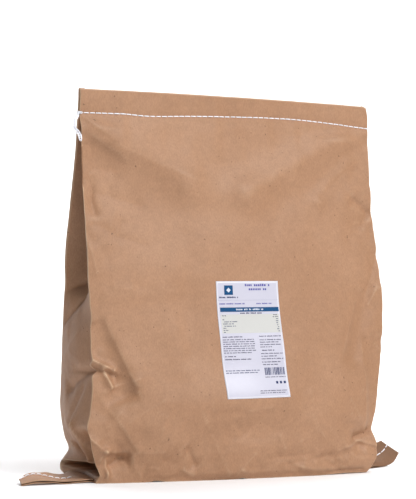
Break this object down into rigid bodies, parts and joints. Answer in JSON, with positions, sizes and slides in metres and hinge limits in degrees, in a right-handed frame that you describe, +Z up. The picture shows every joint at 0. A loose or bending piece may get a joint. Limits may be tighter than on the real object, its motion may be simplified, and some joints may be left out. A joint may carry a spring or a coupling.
{
  "type": "bag of flour",
  "caption": "Filled kraft paper flour sack with side gussets, chain-stitched across its top and its bottom, with seam ears at the bottom corners and a plain printed label.",
  "frame": {"origin": "centre of the whole bag's box, on the surface that it stands on", "axes": "+Z up the standing bag; +X along its width, from the flat seam ear on the left to the curled one on the right; -Y out of the front with the label"},
  "size_m": [0.469, 0.1512, 0.4212],
  "materials": {
    "kraft_paper": "matt natural brown kraft paper, creased",
    "label_paper": "smooth white label paper with a blue band and grey print",
    "thread": "spun white sewing thread"
  },
  "bodies": {
    "root": {"sack": "kraft_paper", "label": "label_paper", "top_stitching": "thread", "bottom_stitching_left": "thread", "bottom_stitching_right": "thread"}
  },
  "joints": []
}
